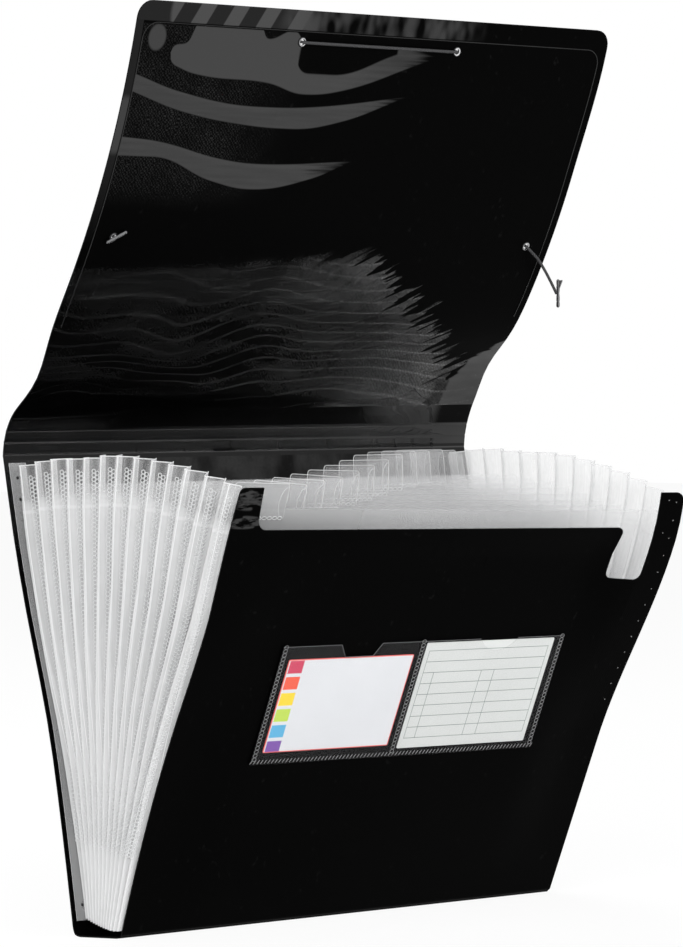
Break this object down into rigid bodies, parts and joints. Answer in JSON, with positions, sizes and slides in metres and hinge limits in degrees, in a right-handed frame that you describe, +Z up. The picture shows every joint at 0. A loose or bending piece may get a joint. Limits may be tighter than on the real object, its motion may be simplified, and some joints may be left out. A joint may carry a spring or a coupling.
{
  "type": "accordion file folder",
  "caption": "Expanding file of black plastic sheet with pleated film sides, tabbed film leaves that fan open, a creased flap, a card pocket on its front and an elastic cord.",
  "frame": {"origin": "middle of the underside of the base, where the file stands", "axes": "+Z up, +X along the file to the right as seen from the front, the front panel facing -Y"},
  "size_m": [0.3408, 0.1792, 0.4757],
  "materials": {
    "cover": "black polypropylene sheet, finely hatched, satin",
    "gusset_film": "milky translucent polypropylene film, pleated and heat welded",
    "leaf_film": "frosted translucent polypropylene film",
    "sleeve_film": "clear glossy film with a welded foot",
    "pocket_film": "clear glossy film",
    "pocket_seam": "clear film welded to black sheet in a chain of small links",
    "index_card": "white printed card with a coral border and plain colour squares",
    "lined_card": "pale grey ruled card",
    "eyelet_metal": "plated steel",
    "bar_metal": "plated steel, worn",
    "elastic": "woven black covering over a rubber core"
  },
  "bodies": {
    "back": {"base_spine": "cover", "back_panel": "cover", "gusset_left": "gusset_film", "gusset_right": "gusset_film"},
    "front": {"front_panel": "cover", "card_pocket": "pocket_film", "pocket_seams": "pocket_seam"},
    "index_card": {"index_card": "index_card"},
    "lined_card": {"lined_card": "lined_card"},
    "strip": {"flap_strip": "cover"},
    "flap": {"flap_panel": "cover", "eyelet_side_left": "eyelet_metal", "eyelet_end_left": "eyelet_metal", "eyelet_end_right": "eyelet_metal", "eyelet_side_right": "eyelet_metal", "elastic_cord": "elastic", "bar_left": "bar_metal", "bar_right": "bar_metal"},
    "leaf_01": {"divider_01": "leaf_film", "tab_sleeve_01": "sleeve_film"},
    "leaf_02": {"divider_02": "leaf_film", "tab_sleeve_02": "sleeve_film"},
    "leaf_03": {"divider_03": "leaf_film", "tab_sleeve_03": "sleeve_film"},
    "leaf_04": {"divider_04": "leaf_film", "tab_sleeve_04": "sleeve_film"},
    "leaf_05": {"divider_05": "leaf_film", "tab_sleeve_05": "sleeve_film"},
    "leaf_06": {"divider_06": "leaf_film", "tab_sleeve_06": "sleeve_film"},
    "leaf_07": {"divider_07": "leaf_film", "tab_sleeve_07": "sleeve_film"},
    "leaf_08": {"divider_08": "leaf_film", "tab_sleeve_08": "sleeve_film"},
    "leaf_09": {"divider_09": "leaf_film", "tab_sleeve_09": "sleeve_film"},
    "leaf_10": {"divider_10": "leaf_film", "tab_sleeve_10": "sleeve_film"},
    "leaf_11": {"divider_11": "leaf_film", "tab_sleeve_11": "sleeve_film"},
    "leaf_12": {"divider_12": "leaf_film", "tab_sleeve_12": "sleeve_film"}
  },
  "joints": [
    {"name": "front_fan", "type": "hinge", "parent": "back", "child": "front", "pos_m": [0, -0.015, 0.0004], "axis": [1, 0, 0], "range_deg": [-37.5, 20], "deforming": ["gusset_left", "gusset_right"]},
    {"name": "strip_fold", "type": "hinge", "parent": "back", "child": "strip", "pos_m": [0, 0.06612, 0.24512], "axis": [-1, 0, 0], "range_deg": [-55, 80]},
    {"name": "flap_fold", "type": "hinge", "parent": "strip", "child": "flap", "pos_m": [0, 0.05627, 0.27078], "axis": [-1, 0, 0], "range_deg": [-66, 95]},
    {"name": "index_card_slide", "type": "slide", "parent": "front", "child": "index_card", "axis": [0, -0.3955, 0.9184], "range_m": [0, 0.045]},
    {"name": "lined_card_slide", "type": "slide", "parent": "front", "child": "lined_card", "axis": [0, -0.3955, 0.9184], "range_m": [0, 0.045]},
    {"name": "leaf_01_fan", "type": "hinge", "parent": "back", "child": "leaf_01", "pos_m": [0, 0.01269, 0.0014], "axis": [1, 0, 0], "range_deg": [-2.9, 1.55]},
    {"name": "leaf_02_fan", "type": "hinge", "parent": "back", "child": "leaf_02", "pos_m": [0, 0.01039, 0.0014], "axis": [1, 0, 0], "range_deg": [-5.78, 3.09]},
    {"name": "leaf_03_fan", "type": "hinge", "parent": "back", "child": "leaf_03", "pos_m": [0, 0.00808, 0.0014], "axis": [1, 0, 0], "range_deg": [-8.66, 4.62]},
    {"name": "leaf_04_fan", "type": "hinge", "parent": "back", "child": "leaf_04", "pos_m": [0, 0.00577, 0.0014], "axis": [1, 0, 0], "range_deg": [-11.55, 6.16]},
    {"name": "leaf_05_fan", "type": "hinge", "parent": "back", "child": "leaf_05", "pos_m": [0, 0.00346, 0.0014], "axis": [1, 0, 0], "range_deg": [-14.43, 7.7]},
    {"name": "leaf_06_fan", "type": "hinge", "parent": "back", "child": "leaf_06", "pos_m": [0, 0.00115, 0.0014], "axis": [1, 0, 0], "range_deg": [-17.32, 9.24]},
    {"name": "leaf_07_fan", "type": "hinge", "parent": "back", "child": "leaf_07", "pos_m": [0, -0.00115, 0.0014], "axis": [1, 0, 0], "range_deg": [-20.2, 10.78]},
    {"name": "leaf_08_fan", "type": "hinge", "parent": "back", "child": "leaf_08", "pos_m": [0, -0.00346, 0.0014], "axis": [1, 0, 0], "range_deg": [-23.09, 12.32]},
    {"name": "leaf_09_fan", "type": "hinge", "parent": "back", "child": "leaf_09", "pos_m": [0, -0.00577, 0.0014], "axis": [1, 0, 0], "range_deg": [-25.97, 13.86]},
    {"name": "leaf_10_fan", "type": "hinge", "parent": "back", "child": "leaf_10", "pos_m": [0, -0.00808, 0.0014], "axis": [1, 0, 0], "range_deg": [-28.86, 15.39]},
    {"name": "leaf_11_fan", "type": "hinge", "parent": "back", "child": "leaf_11", "pos_m": [0, -0.01039, 0.0014], "axis": [1, 0, 0], "range_deg": [-31.74, 16.93]},
    {"name": "leaf_12_fan", "type": "hinge", "parent": "back", "child": "leaf_12", "pos_m": [0, -0.01269, 0.0014], "axis": [1, 0, 0], "range_deg": [-34.62, 18.47]}
  ],
  "couplings": [
    {"joint": "leaf_01_fan", "follows": "front_fan", "ratio": 0.076923},
    {"joint": "leaf_02_fan", "follows": "front_fan", "ratio": 0.15385},
    {"joint": "leaf_03_fan", "follows": "front_fan", "ratio": 0.23077},
    {"joint": "leaf_04_fan", "follows": "front_fan", "ratio": 0.30769},
    {"joint": "leaf_05_fan", "follows": "front_fan", "ratio": 0.38461},
    {"joint": "leaf_06_fan", "follows": "front_fan", "ratio": 0.46154},
    {"joint": "leaf_07_fan", "follows": "front_fan", "ratio": 0.53846},
    {"joint": "leaf_08_fan", "follows": "front_fan", "ratio": 0.61538},
    {"joint": "leaf_09_fan", "follows": "front_fan", "ratio": 0.69231},
    {"joint": "leaf_10_fan", "follows": "front_fan", "ratio": 0.76923},
    {"joint": "leaf_11_fan", "follows": "front_fan", "ratio": 0.84615},
    {"joint": "leaf_12_fan", "follows": "front_fan", "ratio": 0.92308}
  ]
}
